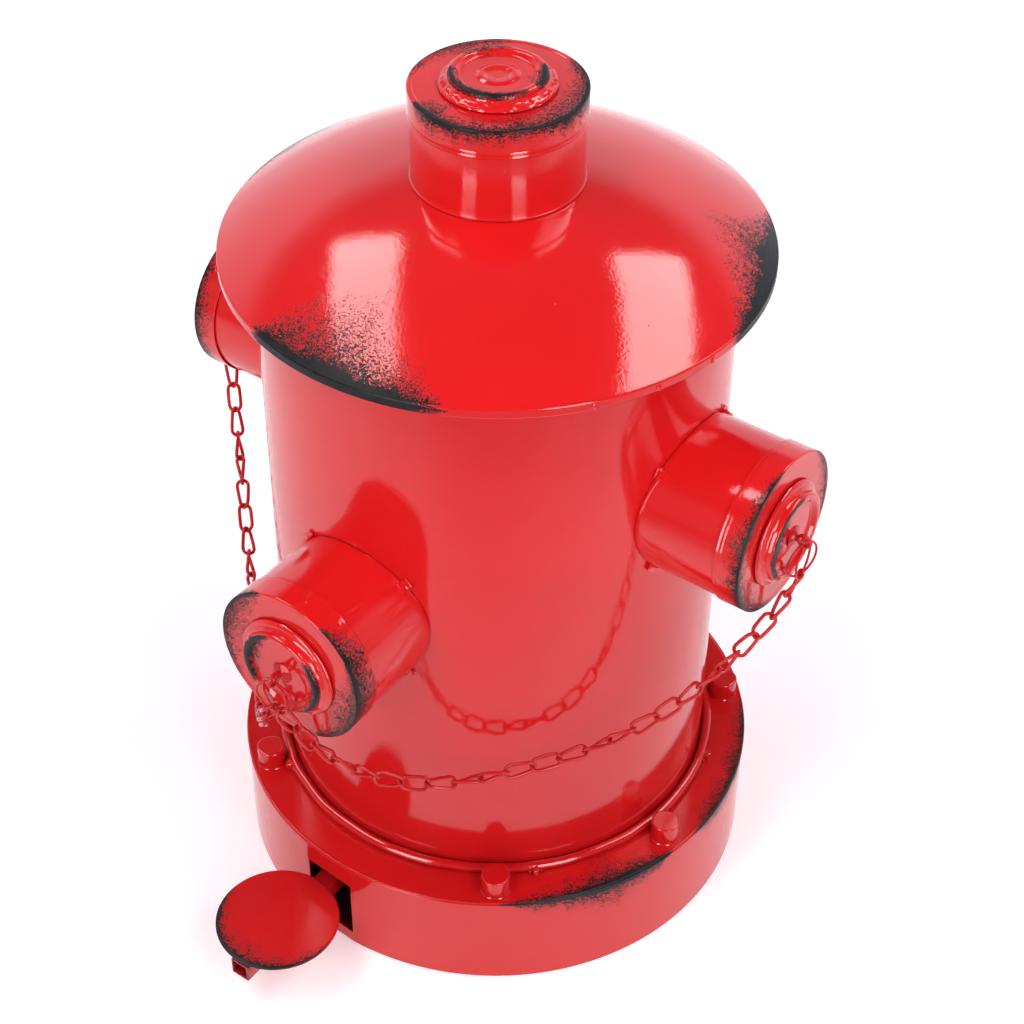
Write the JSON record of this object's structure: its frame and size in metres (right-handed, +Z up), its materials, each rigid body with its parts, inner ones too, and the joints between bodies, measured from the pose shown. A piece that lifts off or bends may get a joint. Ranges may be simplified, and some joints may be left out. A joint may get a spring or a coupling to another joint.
{
  "type": "hydrant-shaped pedal bin",
  "caption": "Round sheet-steel pedal bin shaped like a fire hydrant, with a hinged domed lid, capped side outlets, hanging chains and a foot pedal.",
  "frame": {"origin": "on the bin's upright axis, at the underside of its base", "axes": "+Z up, front with the pedal and the low outlet towards -Y, side outlets towards +X and -X"},
  "size_m": [0.4448, 0.425, 0.5755],
  "materials": {
    "red_paint": "gloss red paint with black worn edges",
    "painted_wire": "gloss red paint",
    "zinc_steel": "satin zinc plate",
    "black_plastic": "matt moulded"
  },
  "bodies": {
    "bin": {"base_pan": "zinc_steel", "base_skirt": "red_paint", "base_top_flange": "red_paint", "base_bolt_1": "red_paint", "base_bolt_2": "red_paint", "base_bolt_3": "red_paint", "base_bolt_4": "red_paint", "base_bolt_5": "red_paint", "base_bolt_6": "red_paint", "base_bolt_7": "red_paint", "body_shell": "red_paint", "body_floor": "zinc_steel", "body_foot_bead": "red_paint", "lower_rod_guide": "zinc_steel", "upper_rod_guide": "zinc_steel", "hinge_bracket": "red_paint", "hinge_pin": "zinc_steel", "pedal_bracket": "zinc_steel", "pedal_pin": "zinc_steel", "bucket": "black_plastic", "right_bucket_ear": "zinc_steel", "left_bucket_ear": "zinc_steel", "front_nozzle_barrel": "red_paint", "front_nozzle_cap": "red_paint", "front_nozzle_boss": "red_paint", "front_nozzle_weld_bead": "red_paint", "front_nozzle_eyelet": "painted_wire", "front_nozzle_ring": "painted_wire", "right_nozzle_barrel": "red_paint", "right_nozzle_cap": "red_paint", "right_nozzle_boss": "red_paint", "right_nozzle_weld_bead": "red_paint", "right_nozzle_eyelet": "painted_wire", "left_nozzle_barrel": "red_paint", "left_nozzle_cap": "red_paint", "left_nozzle_boss": "red_paint", "left_nozzle_weld_bead": "red_paint", "left_nozzle_eyelet": "painted_wire"},
    "lid": {"lid_dome": "red_paint", "lid_rim_band": "red_paint", "lid_neck": "red_paint", "lid_neck_cap": "red_paint", "lid_boss": "red_paint", "lid_weld_bead": "red_paint", "lid_hinge_strap": "zinc_steel", "lid_crank": "zinc_steel"},
    "pedal": {"pedal_lever": "red_paint", "pedal_disc": "red_paint"},
    "push_rod": {"push_rod": "zinc_steel"},
    "bail": {"bucket_bail": "zinc_steel"},
    "right_chain": {"right_chain": "painted_wire", "right_nozzle_ring": "painted_wire"},
    "left_chain": {"left_chain": "painted_wire", "left_nozzle_ring": "painted_wire"}
  },
  "joints": [
    {"name": "lid_hinge", "type": "hinge", "parent": "bin", "child": "lid", "pos_m": [0, 0.152, 0.457], "axis": [-1, 0, 0], "range_deg": [0, 70]},
    {"name": "pedal_hinge", "type": "hinge", "parent": "bin", "child": "pedal", "pos_m": [-0.02, -0.04, 0.0315], "axis": [1, 0, 0], "range_deg": [0, 6.05]},
    {"name": "push_rod_slide", "type": "slide", "parent": "bin", "child": "push_rod", "axis": [0, 0, 1], "range_m": [0, 0.0185]},
    {"name": "bail_hinge", "type": "hinge", "parent": "bin", "child": "bail", "pos_m": [0, 0, 0.366], "axis": [-1, 0, 0], "range_deg": [0, 150]},
    {"name": "right_chain_swing", "type": "hinge", "parent": "bin", "child": "right_chain", "pos_m": [0.218, 0, 0.3435], "axis": [-0.673, -0.6855, -0.2777], "range_deg": [-2, 30]},
    {"name": "left_chain_swing", "type": "hinge", "parent": "bin", "child": "left_chain", "pos_m": [-0.218, 0, 0.3435], "axis": [-0.673, 0.6855, 0.2777], "range_deg": [-2, 30]}
  ],
  "couplings": [
    {"joint": "pedal_hinge", "follows": "lid_hinge", "ratio": 0.085714},
    {"joint": "push_rod_slide", "follows": "lid_hinge", "m_per_rad": 0.015061}
  ]
}
